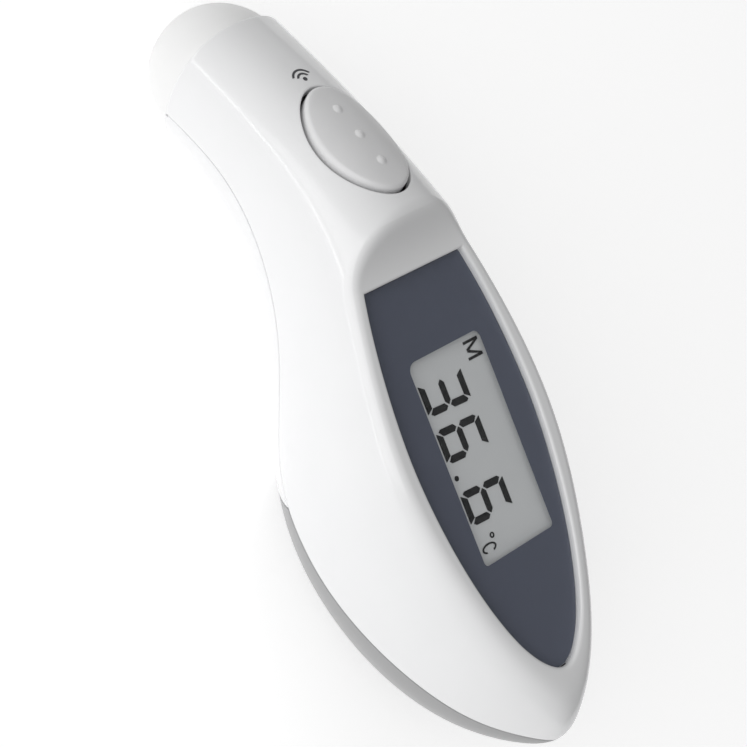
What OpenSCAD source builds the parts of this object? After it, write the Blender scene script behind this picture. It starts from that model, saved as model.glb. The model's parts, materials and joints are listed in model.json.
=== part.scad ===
// Infrared ear and forehead thermometer, lying on its back.
// Assembly frame: origin at the centre of the small flat resting land on the
// battery cover, +Z up, +Y towards the probe, +X to the right seen from above.
// Most parts are drawn in a body frame whose origin is the middle of the
// display window, then laid down by lay().

/* [Body] */
// Wall thickness of the moulded shells, mm
wall = 2.0; // [1.6:0.1:2.4]
// Squareness exponent of the body cross-sections (2 = ellipse)
squareness = 2.3; // [2.1:0.05:2.5]
// Gap along the parting line between the shells, mm
parting_gap = 0.2; // [0.15:0.05:0.4]
// Angle by which the display plane rises towards the neck, degrees
display_rise = 4.2; // [3.6:0.1:4.8]
// Angle by which the probe leans back from the long axis, degrees
head_tilt = 33; // [32:0.5:34]
// Angle the body is turned to rest on cover and cap, degrees
lie_angle = 5.75; // [5.5:0.05:6.0]

/* [Display] */
// Half width of the display panel, mm
panel_half_width = 16.7; // [15.5:0.1:17]
// Window length along the body, mm
window_length = 37; // [34:0.5:38]
// Window width across the body, mm
window_width = 18.6; // [16:0.2:19.4]
// Sideways offset of the window from the middle of the clear panel, mm
window_offset = 1.1; // [0:0.1:1.4]
// Depth of the panel below its rim, mm
panel_recess = 0.8; // [0.5:0.1:1.0]
// Thickness of the clear panel, mm
panel_thickness = 1.2; // [1.0:0.1:1.4]

/* [Scan button] */
// Button length along the neck, mm
button_length = 23; // [21:0.5:24]
// Button width across the neck, mm
button_width = 15; // [13:0.5:15.5]
// Gap around the button, mm
button_gap = 0.45; // [0.3:0.05:0.6]
// Height of the button above the neck surface, mm
button_proud = 0.7; // [0.4:0.1:1.0]

/* [Probe] */
// Radius of the probe cap at its rim, mm
cap_radius = 12.75; // [12.5:0.05:12.9]
// Height of the probe cap dome, mm
cap_height = 13; // [12.5:0.1:13.3]
// Wall thickness of the probe cap, mm
cap_wall = 1.2; // [1.0:0.1:1.4]

/* [Battery] */
// Cell diameter (AAA), mm
cell_diameter = 10.5; // [10.3:0.1:10.5]
// Cell can length without the terminal, mm
cell_length = 43.3; // [43:0.1:43.5]

/* [Hidden] */
$fn = 48;

// Body stations from the probe end to the tail end:
// front y, front z, back y, back z, half width (front is the display side)
stations = [
  [83.25, -10.75, 69.00, -32.75, 13.25],
  [68.50,  -2.00, 58.50, -28.50, 13.25],
  [50.00,   6.50, 43.75, -27.25, 14.25],
  [28.25,  12.50, 25.50, -32.00, 19.25],
  [-1.00,  11.50,  2.00, -44.75, 25.25],
  [-26.0,   5.00, -25.0, -44.25, 19.75],
  [-38.75,  0.75, -43.75, -34.50, 12.75],
  [-47.5,  -4.50, -52.25, -22.00, 5.25]];
// How much each station moves along the body when the skin is offset
tail_shift = [0, 0, 0, 0, 0, 0.25, 0.5, 0.8];
tail_tip = [-54.5, -11.5]; // y, z
ring_points = 44;
ring_phase = 0.688; // turn of the ring points, in point steps

// Spline control points (y, z) of the line parting front shell from rear shell and cover
parting = [
  [90, -34], [82, -29], [74, -24.5], [66, -19.5], [57, -16], [45, -15],
  [32, -16], [20, -22], [9, -29.3], [0, -29], [-10, -28.9], [-22, -26.7],
  [-34, -23.2], [-46, -19], [-54, -11.3], [-62, -7.5], [-70, -4]];
seam_steps = 69;
seam_end = 0.9999*(len(parting)-3); // spline position where the seam stops

// Plane between rear shell and battery cover
split_centre = [0, 4.5, -31];
split_tilt = 29.4;
split_gap = 0.1; // on each side of the plane
// Resting land on the cover
land_y = -10.1;
land_z = -42.56;

head_centre = [0, 76.1, -21.75];
head_bore_radius = 10.6;
button_centre = [0, 56.85, 3.0];
button_lean = 23.2;

// Display panel outline along y
panel_top = 32.7;
panel_tip = -40.7;
panel_widest_y = 4;
panel_upper_reach = 49.5; // from the widest place to the virtual upper tip
tip_trim = 1.3;           // how far the tip draws in per mm of inset
leaf_steps = 24;
// Display face of the front shell
face_z = 0.02;
face_slope = 0.0734;
face_curl = 0.065; // quadratic rise above the panel top

// Screw places (x, y)
pcb_holes = [[-15.8, -12], [15.8, -12], [-16, 20], [16, 20]];
tray_holes = [[-15.5, -20], [15.5, -20], [-16.5, 8], [16.5, 8]];
shell_holes = [[-8.5, 31], [8.5, 31]];
switch_holes = [[0, -9], [0, 9]];

shell_white = [0.95, 0.95, 0.96];
near_black = [0.12, 0.12, 0.13];
screw_steel = [0.75, 0.75, 0.77];
contact_metal = [0.8, 0.8, 0.8];
board_green = [0.1, 0.4, 0.2];

// ---------- frames ----------
module lay() translate([0, -land_y, -land_z]) rotate([-lie_angle, 0, 0]) children();
module in_display() rotate([display_rise, 0, 0]) children();
module in_button() translate(button_centre) rotate([-button_lean, 0, 0]) children();
// local +z runs out along the probe axis, local -y faces the display side
module in_head() translate(head_centre) rotate([-90-head_tilt, 0, 0]) children();
// local +y is the rear shell side, local -y the cover side
module in_split() translate(split_centre) rotate([split_tilt, 0, 0]) children();

// ---------- shared shapes ----------
module up(z) translate([0, 0, z]) children();
module at_each(places, z) for (p = places) translate([p[0], p[1], z]) children();
module disc(z, r, h) up(z) cylinder(r = r, h = h);
module pegs(places, z, r, h) at_each(places, z) cylinder(r = r, h = h);
// box centred in x and y, standing on z = 0
module slab(size) translate([-size[0]/2, -size[1]/2, 0]) cube(size);
module round_slab(size, corner) linear_extrude(size[2]) hull()
  for (i = [-1, 1]) for (j = [-1, 1])
    translate([i*(size[0]/2-corner), j*(size[1]/2-corner)]) circle(r = corner, $fn = 24);
// leaves every size as it is and gathers the children into one piece
module meshed() resize([0, 0, 0]) children();

// pan head screw, head down, with a cross recess
module screw(head_r, head_h, shank_r, shank_l) difference() {
  union() {
    cylinder(r = head_r, h = head_h);
    up(head_h) cylinder(r = shank_r, h = shank_l);
  }
  for (a = [0, 90]) rotate([0, 0, a])
    translate([-0.25, -head_r*0.65, -1]) cube([0.5, head_r*1.3, 1+head_h*0.45]);
}

// triangles between rings of points, for rings stacked one after another
function side_faces(rings, sides) = [
  for (k = [0:rings-2]) for (j = [0:sides-1])
    let(a = k*sides+j, b = k*sides+(j+1)%sides)
      for (face = [[a, b+sides, b], [a, a+sides, b+sides]]) face];
function tube_faces(rings, sides) = concat(
  [[for (j = [0:sides-1]) j]],
  [[for (j = [sides-1:-1:0]) (rings-1)*sides+j]],
  side_faces(rings, sides));
function flip(faces) = [for (f = faces) [for (i = [len(f)-1:-1:0]) f[i]]];

// ---------- body skin ----------
// uniform cubic B-spline through control rows, one unit of t per span
function spline(rows, t) = let(i = min(floor(t), len(rows)-4), u = t-i)
  (rows[i]*pow(1-u, 3) + rows[i+1]*(3*u*u*u-6*u*u+4)
    + rows[i+2]*(-3*u*u*u+3*u*u+3*u+1) + rows[i+3]*u*u*u)/6;
function front_dir(row) = let(v = [row[0]-row[2], row[1]-row[3]]) v/norm(v);
// station moved outwards by out, and towards the tail by out*shift
function offset_row(row, out, shift) = let(d = out*front_dir(row), s = out*shift)
  [row[0]+d[0]-s, row[1]+d[1], row[2]-d[0]-s, row[3]-d[1], row[4]+out];
// stations with an extra row before the first, the tail tip, and the last row mirrored
function skin_rows(out) =
  let(
    rows = [for (i = [0:len(stations)-1]) offset_row(stations[i], out, tail_shift[i])],
    y = tail_tip[0]-out,
    z = tail_tip[1],
    last = rows[len(rows)-1])
  concat([2*rows[0]-rows[1]], rows,
    [[y, z, y, z, 0], [last[2], last[3], last[0], last[1], -last[4]]]);
function signed_pow(v, e) = sign(v)*pow(abs(v), e);
function skin_point(row, angle) =
  let(c = signed_pow(cos(angle), 2/squareness), s = signed_pow(sin(angle), 2/squareness))
  [row[4]*c, (row[0]+row[2])/2+(row[0]-row[2])/2*s, (row[1]+row[3])/2+(row[1]-row[3])/2*s];
// ring positions along the skin, closer together at the tail
function spread(start, rings) = [for (k = [0:rings-1])
  start+(len(stations)-start)*(1-pow(1-k/rings, 1.25))];

// closed body skin offset outwards by out, beginning at spline position start
module skin(out, start, rings) {
  rows = skin_rows(out);
  first = spline(rows, start);
  tip = spline(rows, len(stations));
  sides = ring_points;
  points = concat(
    [for (t = spread(start, rings)) let(row = spline(rows, t))
      for (j = [0:sides-1]) skin_point(row, 360*(j+ring_phase)/sides)],
    [[0, tip[0], tip[1]], [0, (first[0]+first[2])/2, (first[1]+first[3])/2]]);
  faces = concat(side_faces(rings, sides),
    [for (j = [0:sides-1]) [(rings-1)*sides+j, rings*sides, (rings-1)*sides+(j+1)%sides]],
    [for (j = [0:sides-1]) [j, (j+1)%sides, rings*sides+1]]);
  polyhedron(points = points, faces = faces, convexity = 6);
}
module outer_skin(out = 0) skin(out, start = 0, rings = 34);
module inner_skin(out = -wall) skin(out, start = 0.36, rings = 28);
// trims bosses so that they end within the wall
module boss_skin() skin(-wall/2, start = 0.36, rings = 24);

// ---------- cutting regions ----------
// prism along X from a profile in the (y, z) plane
module yz_prism(profile, half_width = 40)
  rotate([90, 0, 90]) up(-half_width) linear_extrude(2*half_width) polygon(profile);

function face_height(y, depth) =
  face_z+face_slope*y+(y > panel_top ? face_curl*pow(y-panel_top, 2) : 0)-depth;
// everything behind the display face, lowered by depth
module behind_face(depth) yz_prism(concat(
  [[-70, face_height(-70, depth)]],
  [for (k = [0:14]) let(y = panel_top+k*1.2) [y, face_height(y, depth)]],
  [[62, 60], [110, 60], [110, -70], [-70, -70]]));

// region between the parting line, raised by rise, and the height far_z
module parting_side(rise, far_z) yz_prism(concat(
  [for (k = [0:seam_steps]) spline(parting, seam_end*k/seam_steps)+[0, rise]],
  [[-75, far_z], [100, far_z]]));
module above_parting() parting_side(parting_gap/2, 60);
module below_parting() parting_side(-parting_gap/2, -80);

module rear_side(gap) in_split() translate([-40, gap, -60]) cube([80, 120, 120]);
module cover_side(gap) in_split() translate([-40, -120-gap, -60]) cube([80, 120, 120]);

module head_bore() in_head() disc(z = -14, r = head_bore_radius, h = 30);

// leaf outline of the display panel, drawn in by inset
function leaf_y(k, inset) =
  let(top = panel_top-inset, tip = panel_tip+tip_trim*inset)
  top+(tip-top)*(1-pow(1-k/leaf_steps, 2));
function leaf_x(y, inset) =
  let(u = y > panel_widest_y
    ? (y-panel_widest_y)/panel_upper_reach
    : (panel_widest_y-y)/(panel_widest_y-panel_tip-tip_trim*inset))
  (panel_half_width-inset)*pow(max(0, 1-pow(u, 1.8)), 0.54);
module leaf(inset) polygon(concat(
  [for (k = [0:leaf_steps]) let(y = leaf_y(k, inset)) [leaf_x(y, inset), y]],
  [for (k = [leaf_steps-1:-1:0]) let(y = leaf_y(k, inset)) [-leaf_x(y, inset), y]]));

// oval plate, larger than the button by grow in both directions
module button_oval(grow, h) linear_extrude(h)
  scale([(button_width+grow)/2, (button_length+grow)/2]) circle(r = 1, $fn = 64);

// ---------- shells ----------
module front_bosses() intersection() {
  boss_skin();
  behind_face(1.2);
  union() {
    in_display() {
      pegs(pcb_holes, z = -8.4, r = 2.2, h = 8);
      pegs(shell_holes, z = -13.9, r = 2.8, h = 16);
    }
    pegs(tray_holes, z = -18.5, r = 2.5, h = 20);
  }
}
module front_shell() color(shell_white) lay() meshed() difference() {
  union() {
    difference() {
      intersection() {
        outer_skin();
        behind_face(0);
        above_parting();
      }
      intersection() {
        inner_skin();
        behind_face(3.4);
      }
    }
    front_bosses();
  }
  in_display() {
    // panel recess and the opening below it
    up(-2.2) linear_extrude(4) leaf(0);
    up(-6) linear_extrude(10) leaf(1.4);
    pegs(pcb_holes, z = -9, r = 0.8, h = 5.4, $fn = 20);
    pegs(shell_holes, z = -15, r = 1.1, h = 10, $fn = 20);
  }
  pegs(tray_holes, z = -21, r = 1.1, h = 12, $fn = 20);
  in_button() up(-9) button_oval(2*button_gap, 20);
  head_bore();
}

module rear_bosses() intersection() {
  boss_skin();
  rear_side(0.4);
  union() {
    in_display() pegs(shell_holes, z = -40, r = 3.0, h = 25.9);
    in_button() pegs(switch_holes, z = -40, r = 2.2, h = 26.2);
  }
}
module rear_shell() color(shell_white) lay() meshed() difference() {
  union() {
    difference() {
      intersection() {
        outer_skin();
        below_parting();
        rear_side(split_gap);
      }
      inner_skin();
    }
    rear_bosses();
  }
  in_display() {
    // shank holes and wider head wells
    pegs(shell_holes, z = -50, r = 1.2, h = 40, $fn = 24);
    pegs(shell_holes, z = -50, r = 2.4, h = 33.9, $fn = 32);
  }
  in_button() pegs(switch_holes, z = -19, r = 0.8, h = 8, $fn = 20);
  head_bore();
}

// strip of inner layer across the split, its outside offset from the inner wall by out
module tongue(out, length) intersection() {
  difference() {
    inner_skin(-wall+out);
    inner_skin(-wall-1.6);
  }
  in_split() translate([-7, -4, -40]) cube([14, length, 38]);
}
module battery_cover() color([0.6, 0.61, 0.62]) lay() meshed() difference() {
  union() {
    difference() {
      intersection() {
        outer_skin();
        below_parting();
        cover_side(split_gap);
      }
      inner_skin();
    }
    // tongue that tucks inside the rear shell, and its root in the cover wall
    tongue(out = -0.35, length = 7.5);
    tongue(out = 0.3, length = 3.6);
  }
  // resting land
  rotate([lie_angle, 0, 0]) translate([-20, -45, land_z-10]) cube([40, 60, 10]);
}

// ---------- probe ----------
cap_lift = 0.2; // rim of the cap above the head centre
plug_bore = 9.3;
pin_circle = 1.3;

module dome(r, h, rise, steps = 14) rotate_extrude($fn = 64) polygon(concat([[0, 0]],
  [for (k = [0:steps]) let(a = 90*k/steps) [r*pow(max(cos(a), 0), 0.85), h*sin(a)+rise]]));
module plug_ring(z, r, h) up(z) difference() {
  cylinder(r = r, h = h);
  disc(z = -1, r = plug_bore, h = 5);
}
module probe_cap() color([0.95, 0.95, 0.94]) lay() in_head() union() {
  difference() {
    up(cap_lift) dome(cap_radius, cap_height, rise = 0);
    up(-0.1) dome(cap_radius-cap_wall, cap_height-cap_wall, rise = 0.3);
  }
  // plug ring that grips the collar of the probe base
  plug_ring(z = -1.6, r = 10.3, h = 3);
  plug_ring(z = cap_lift, r = 11.8, h = 1.2);
}

module probe_base() color([0.93, 0.93, 0.94]) lay() in_head() difference() {
  union() {
    disc(z = -6.5, r = 10.5, h = 4.7);
    disc(z = -1.8, r = 9.2, h = 2.2);
    up(0.4) cylinder(r1 = 7.6, r2 = 4.4, h = 10.2);
    disc(z = -10, r = 7.2, h = 4);
  }
  disc(z = -11, r = 5.6, h = 9);
  disc(z = -3, r = 3.4, h = 5);
  disc(z = 1, r = 2.9, h = 12);
}
module waveguide() color([0.83, 0.68, 0.32]) lay() in_head() difference() {
  disc(z = 2.1, r = 2.8, h = 8);
  disc(z = 1, r = 2.3, h = 12);
}
module tip_window() color([0.25, 0.22, 0.3]) lay() in_head() disc(z = 10.12, r = 2.75, h = 0.4);

module sensor_can() color([0.72, 0.72, 0.74]) lay() in_head() difference() {
  union() {
    disc(z = -1.9, r = 2.35, h = 3.2);
    disc(z = -2.5, r = 2.8, h = 0.6);
  }
  disc(z = 0.9, r = 1.25, h = 1);
}
module sensor_window() color([0.3, 0.28, 0.36]) lay() in_head()
  disc(z = 0.95, r = 1.2, h = 0.3);
module at_pins(z) for (a = [45, 135, 225, 315])
  rotate([0, 0, a]) translate([pin_circle, 0, z]) children();
module sensor_pins() color([0.85, 0.7, 0.35]) lay() in_head()
  at_pins(-8.2) cylinder(r = 0.2, h = 5.65);
module sensor_holder() color([0.7, 0.71, 0.73]) lay() in_head() difference() {
  union() {
    disc(z = -6.6, r = 5.5, h = 3.3);
    disc(z = -3.3, r = 5.5, h = 0.6);
  }
  disc(z = -7, r = 2.2, h = 8);
}
module sensor_seal() color(near_black) lay() in_head()
  up(-2.36) rotate_extrude() translate([4.5, 0]) circle(r = 0.3, $fn = 24);
module sensor_board() color([0.1, 0.38, 0.2]) lay() in_head() difference() {
  disc(z = -7.8, r = 5.3, h = 1);
  at_pins(-9) cylinder(r = 0.35, h = 4);
}

// ---------- display ----------
lcd_y = 0.25;
lcd_width = 23;
lcd_length = 42;
lcd_clearance = 0.3; // total, in width and in length
zebra_x = 9.6;
digit_height = 10.7;
digit_width = 6.15;
bar_width = 1.3;
digit_slant = 0.055;
digit_y = -3.32;
// Digit place along the reading direction, then bars a to g as 1 or 0
digits = [
  [-11.52, [1, 1, 1, 1, 0, 0, 1]],
  [ -2.87, [1, 0, 1, 1, 1, 1, 1]],
  [  8.50, [1, 0, 1, 1, 1, 1, 1]]];

module display_panel() color([0.75, 0.78, 0.82, 0.35]) lay() in_display()
  up(-panel_recess-panel_thickness) linear_extrude(panel_thickness) leaf(0.15);
module panel_print() color([0.29, 0.31, 0.36]) lay() in_display() up(-2.18) difference() {
  linear_extrude(0.15) leaf(0.3);
  translate([window_offset, 0.05, -1]) round_slab([window_width, window_length, 3], 0.9);
}
module lcd_glass(z, h) translate([0, lcd_y, z]) slab([lcd_width, lcd_length, h]);
module lcd_front_glass() color([0.8, 0.83, 0.82, 0.4]) lay() in_display() lcd_glass(-3.2, 0.8);
module lcd_rear_glass() color([0.62, 0.63, 0.62]) lay() in_display() lcd_glass(-4.3, 0.9);

// bars of a seven-segment digit, drawn in place about the digit's middle
module middle_bar() {
  end = (digit_width-bar_width*1.25)/2;
  t = bar_width/2;
  polygon([[-end, 0], [-end+t, t], [end-t, t], [end, 0], [end-t, -t], [-end+t, -t]]);
}
module top_bar() {
  end = (digit_width-bar_width*0.85)/2;
  low_end = end-bar_width*0.6;
  t = bar_width/2;
  translate([0, digit_height/2-t]) polygon([[-end, t], [end, t], [low_end, -t], [-low_end, -t]]);
}
module right_bar() {
  end = (digit_height/2-bar_width*0.85)/2;
  t = bar_width/2;
  translate([digit_width/2-t, digit_height/4-bar_width/8]) polygon([
    [bar_width*0.2, end], [t, end-bar_width*0.4], [t, -end+t],
    [0, -end], [-t, -end+t], [-t, end-bar_width*0.65]]);
}
module digit(bars) multmatrix([[1, digit_slant, 0, 0], [0, 1, 0, 0], [0, 0, 1, 0]]) {
  if (bars[0]) top_bar();
  if (bars[1]) right_bar();
  if (bars[2]) mirror([0, 1]) right_bar();
  if (bars[3]) mirror([0, 1]) top_bar();
  if (bars[4]) mirror([1, 0]) mirror([0, 1]) right_bar();
  if (bars[5]) mirror([1, 0]) right_bar();
  if (bars[6]) middle_bar();
}
module degree_ring() difference() {
  circle(r = 0.52, $fn = 24);
  circle(r = 0.27, $fn = 24);
}
module unit_letter() difference() {
  scale([0.88, 1.74]) circle(r = 1, $fn = 40);
  scale([0.56, 1.42]) circle(r = 1, $fn = 40);
  translate([0.3, -0.85]) square([2, 1.7]);
}
module memory_letter() for (i = [0, 1]) mirror([i, 0]) polygon([
  [1.15, 1.8], [1.68, 1.8], [1.68, -1.8], [1.2, -1.8],
  [1.2, 0.9], [0.3, -1.5], [0.02, -1.5], [0.02, -0.9]]);
// the layer moves sideways with the window and reads across the body's length
module lcd_segments() color([0.1, 0.1, 0.11]) lay() in_display()
  translate([window_offset+0.75, -0.14, -3.36]) linear_extrude(0.1) rotate(-90) {
    for (d = digits) translate([d[0], digit_y]) digit(d[1]);
    // decimal point
    translate([2.62, -7.92]) circle(r = 0.47, $fn = 24);
    translate([14.19, -5.07]) degree_ring();
    translate([15.92, -6.68]) unit_letter();
    translate([-15.87, 6.53]) memory_letter();
  }

module at_zebra(z) for (i = [-1, 1]) translate([i*zebra_x, lcd_y, z]) children();
module lcd_frame() color([0.85, 0.86, 0.86]) lay() in_display() difference() {
  translate([0, lcd_y, -8.4]) round_slab([26, 44.8, 4.9], 6);
  translate([0, lcd_y, -4.35]) slab([lcd_width+lcd_clearance, lcd_length+lcd_clearance, 3]);
  translate([0, lcd_y, -9]) round_slab([15, 36, 8], 1);
  at_zebra(-9) slab([2.4, 39, 8]);
}
module zebra_strips() color([0.75, 0.45, 0.5]) lay() in_display()
  at_zebra(-8.45) slab([2, 38, 4.1]);

// ---------- main board ----------
socket_x = 4.1;
controller_width = 9;
lead_pitch = 1.1;

module pcb_outline() {
  translate([0, 1]) square([25, 50], center = true);
  // screw lugs
  for (p = pcb_holes) hull() {
    translate(p) circle(r = 2.3);
    translate([sign(p[0])*11, p[1]]) circle(r = 2.3);
  }
}
module main_pcb() color(board_green) lay() in_display()
  up(-10.1) linear_extrude(1.6) difference() {
    pcb_outline();
    for (p = pcb_holes) translate(p) circle(r = 1.0);
  }
module pcb_screws() color(screw_steel) lay() in_display()
  at_each(pcb_holes, -11.4) screw(head_r = 1.9, head_h = 1.2, shank_r = 0.75, shank_l = 6.6);
module microcontroller() color(near_black) lay() in_display() up(-11.9) difference() {
  slab([controller_width, controller_width, 1.5]);
  translate([-3.4, 3.4, -0.1]) cylinder(r = 0.5, h = 0.3);
}
module controller_leads() color([0.75, 0.75, 0.76]) lay() in_display()
  for (a = [0, 90, 180, 270]) rotate([0, 0, a]) for (i = [-3:3])
    translate([i*lead_pitch, controller_width/2+0.6, -10.65]) slab([0.45, 1.1, 0.5]);
module memory_chip() color([0.14, 0.14, 0.15]) lay() in_display()
  translate([-7, 13, -11.8]) difference() {
    slab([5, 4, 1.6]);
    translate([-2.6, 0, -0.1]) cylinder(r = 0.5, h = 0.4);
  }
module crystal() color([0.75, 0.76, 0.78]) lay() in_display()
  translate([8.6, 3, -11.6]) round_slab([3, 8, 1.4], 1.4);
module resistors() color([0.2, 0.2, 0.22]) lay() in_display()
  at_each([[-9.5, -4], [-9.5, -1], [-9.5, 2], [-9.5, 5], [7, -6.5], [7, 11.5]], -10.75)
    slab([1.6, 0.8, 0.55]);
module capacitors() color([0.72, 0.6, 0.42]) lay() in_display()
  at_each([[-2, 8.6], [1, 8.6], [4, 8.6], [-6, -7.4], [-3, -7.6], [9.5, -3]], -11)
    slab([1.2, 2, 0.85]);
module buzzer() color([0.1, 0.1, 0.1]) lay() in_display()
  translate([0, -15.6, -14.2]) difference() {
    cylinder(r = 6, h = 4);
    disc(z = -1, r = 0.9, h = 3);
  }
module wire_sockets() color([0.93, 0.92, 0.86]) lay() in_display()
  at_each([[-socket_x, 20.5], [socket_x, 20.5]], -14.2) difference() {
    slab([7, 4.6, 4.05]);
    up(-1) slab([5.6, 3.2, 4]);
  }

// ---------- scan button ----------
dot_pitch = 5.9;
dot_drop = 0.1225; // how much lower the two end dots sit

module scan_button() color([0.76, 0.77, 0.78]) lay() meshed() difference() {
  union() {
    intersection() {
      outer_skin(button_proud);
      in_button() up(-6.2) button_oval(0, 16);
    }
    // retaining flange
    in_button() up(-6.9) button_oval(2.6, 1);
    // raised dots
    for (i = [-1, 0, 1]) in_button()
      translate([0, i*dot_pitch, button_proud-0.9-dot_drop*i*i]) sphere(r = 1.25, $fn = 32);
  }
  // hollow around a central stem
  in_button() difference() {
    up(-8) button_oval(-3.2, 6.2);
    disc(z = -9, r = 2, h = 9);
  }
}
module switch_plunger() color([0.2, 0.2, 0.2]) lay() in_button()
  disc(z = -9.6, r = 1.6, h = 1.55);
module switch_body() color([0.1, 0.1, 0.1]) lay() in_button() up(-12.65) difference() {
  slab([6, 6, 3.4]);
  disc(z = 1.6, r = 1.66, h = 3);
}
module switch_plate() color([0.78, 0.78, 0.8]) lay() in_button() up(-9.2) difference() {
  slab([6, 6, 0.25]);
  disc(z = -1, r = 1.9, h = 3);
}
module switch_board() color(board_green) lay() in_button() difference() {
  up(-13.7) round_slab([13, 24, 1], 1.5);
  pegs(switch_holes, z = -15, r = 1, h = 4);
}
module switch_screws() color(screw_steel) lay() in_button() at_each(switch_holes, -11.45)
  rotate([180, 0, 0]) screw(head_r = 1.8, head_h = 1.2, shank_r = 0.72, shank_l = 5.6);

// ---------- battery ----------
tray_y = -7;
tray_inner_width = 22.6;
tray_inner_length = 47.6;
tray_wall = 1.4;
cell_x = 5.6;
cell_stagger = 0.55; // each cell's shift away from its spring
cell_axis_z = -25.5;
terminal_length = 1.44;
plate_gap = 0.02;
plate_width = 8.4;

module battery_tray() color(near_black) lay() difference() {
  union() {
    translate([0, tray_y, -28])
      slab([tray_inner_width+2*tray_wall, tray_inner_length+2*tray_wall, 9.4]);
    // screw lugs
    for (p = tray_holes) hull()
      pegs([p, [p[0]*0.7, p[1]]], z = -20.1, r = 2.5, h = 1.5);
  }
  translate([0, tray_y, -30]) slab([tray_inner_width, tray_inner_length, 9.8]);
  pegs(tray_holes, z = -25, r = 1.3, h = 10);
}
module tray_screws() color(screw_steel) lay()
  at_each(tray_holes, -21.4) screw(head_r = 2, head_h = 1.25, shank_r = 1, shank_l = 9);
// local +z runs along the cell towards the tail
module in_cell(i) translate([i*cell_x, tray_y-i*cell_stagger, cell_axis_z])
  rotate([90, 0, 0]) children();
module battery_cells() color([0.2, 0.33, 0.5]) lay() for (i = [-1, 1]) in_cell(i) difference() {
  up(-cell_length/2) cylinder(d = cell_diameter, h = cell_length);
  disc(z = i*cell_length/2-0.3, r = 3.9, h = 0.6);
}
module cell_terminals() color([0.8, 0.8, 0.82]) lay() for (i = [-1, 1]) in_cell(i)
  disc(z = i*(cell_length/2+0.45)-terminal_length/2, r = 1.9, h = terminal_length);

// conical coil, from start_r at z = 0 to end_r at z = h
module coil(start_r, end_r, h, turns, wire_r, sides = 6) {
  steps = turns*18;
  points = [for (k = [0:steps])
    let(f = k/steps, a = 360*turns*f, r = start_r+(end_r-start_r)*f)
      for (j = [0:sides-1])
        let(b = 360*j/sides, reach = r+wire_r*cos(b))
          [reach*cos(a), reach*sin(a), wire_r+(h-2*wire_r)*f+wire_r*sin(b)]];
  polyhedron(points = points, faces = flip(tube_faces(steps+1, sides)), convexity = 6);
}
// local +z points from the tray's end wall to the cell, i = +1 for the probe end
module at_wall(i, x) translate([x, tray_y+i*(tray_inner_length/2-plate_gap), cell_axis_z])
  rotate([i*90, 0, 0]) children();
module end_plate() up(plate_gap) slab([plate_width, plate_width, 0.3]);
module contact_springs() color(contact_metal) lay() for (i = [-1, 1])
  at_wall(i, i*cell_x) up(0.42)
    coil(start_r = 3.5, end_r = 1.9, h = 1.9, turns = 2, wire_r = 0.3);
module spring_plates() color(contact_metal) lay()
  for (i = [-1, 1]) at_wall(i, i*cell_x) end_plate();
module contact_plates() color(contact_metal) lay()
  for (i = [-1, 1]) at_wall(i, -i*cell_x) end_plate();

module shell_screws() color(screw_steel) lay() in_display()
  at_each(shell_holes, -17.4) screw(head_r = 2.2, head_h = 1.25, shank_r = 1, shank_l = 9);

// ---------- wires ----------
function bezier(p, t) =
  p[0]*pow(1-t, 3)+p[1]*3*t*(1-t)*(1-t)+p[2]*3*t*t*(1-t)+p[3]*t*t*t;
function bezier_slope(p, t) =
  (p[1]-p[0])*3*(1-t)*(1-t)+(p[2]-p[1])*6*t*(1-t)+(p[3]-p[2])*3*t*t;
function unit(v) = v/norm(v);
// round wire along a cubic Bezier curve with four control points
module wire(path, r = 0.4, steps = 14, sides = 8) {
  points = [for (k = [0:steps])
    let(
      centre = bezier(path, k/steps),
      along = unit(bezier_slope(path, k/steps)),
      u = unit(cross(along, [1, 0, 0.01])),
      v = cross(along, u))
    for (j = [0:sides-1]) centre+r*(u*cos(360*j/sides)+v*sin(360*j/sides))];
  polyhedron(points = points, faces = tube_faces(steps+1, sides), convexity = 4);
}
module sensor_wires() color([0.75, 0.2, 0.18]) lay() for (i = [-1, 0, 1])
  translate([i*0.95, 0, 0]) wire([
    [3.9, 69.1, -17.2], [3.9, 60, -18], [socket_x, 32, -22], [socket_x, 21.5, -13.6]]);
module switch_wires() color([0.2, 0.25, 0.6]) lay() for (i = [-1, 1])
  translate([i*0.9, 0, 0]) wire([
    [-4, 44.4, -7.9], [-4, 42, -16], [-socket_x, 28, -21], [-socket_x, 21.5, -13.6]]);
module battery_wires() color([0.12, 0.12, 0.12]) lay() for (i = [-1, 1])
  wire([[i*10, 18.4, -23], [i*10, 23, -23], [i*9.5, 25, -16], [i*9, 24.2, -8.6]]);

// ---------- printed sign ----------
// dot with radiating arcs, the sign for a measuring beam
module beam_sign() {
  circle(r = 0.42, $fn = 24);
  for (r = [1.25, 2.15]) difference() {
    circle(r = r+0.2, $fn = 48);
    circle(r = r-0.2, $fn = 48);
    translate([-5, -8.01+r*0.45]) square([10, 8]);
  }
}
module scan_mark() color([0.2, 0.2, 0.22]) lay() meshed() intersection() {
  difference() {
    outer_skin(0.09);
    outer_skin(0.02);
  }
  in_button() translate([0, button_length/2+2.5, -6]) linear_extrude(12) beam_sign();
}

front_shell();
rear_shell();
battery_cover();
probe_cap();
probe_base();
waveguide();
tip_window();
sensor_can();
sensor_window();
sensor_pins();
sensor_holder();
sensor_seal();
sensor_board();
display_panel();
panel_print();
lcd_front_glass();
lcd_segments();
lcd_rear_glass();
lcd_frame();
zebra_strips();
main_pcb();
pcb_screws();
microcontroller();
controller_leads();
memory_chip();
crystal();
resistors();
capacitors();
buzzer();
wire_sockets();
scan_button();
switch_plunger();
switch_body();
switch_plate();
switch_board();
switch_screws();
battery_tray();
tray_screws();
battery_cells();
cell_terminals();
contact_springs();
spring_plates();
contact_plates();
shell_screws();
sensor_wires();
switch_wires();
battery_wires();
scan_mark();
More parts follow.
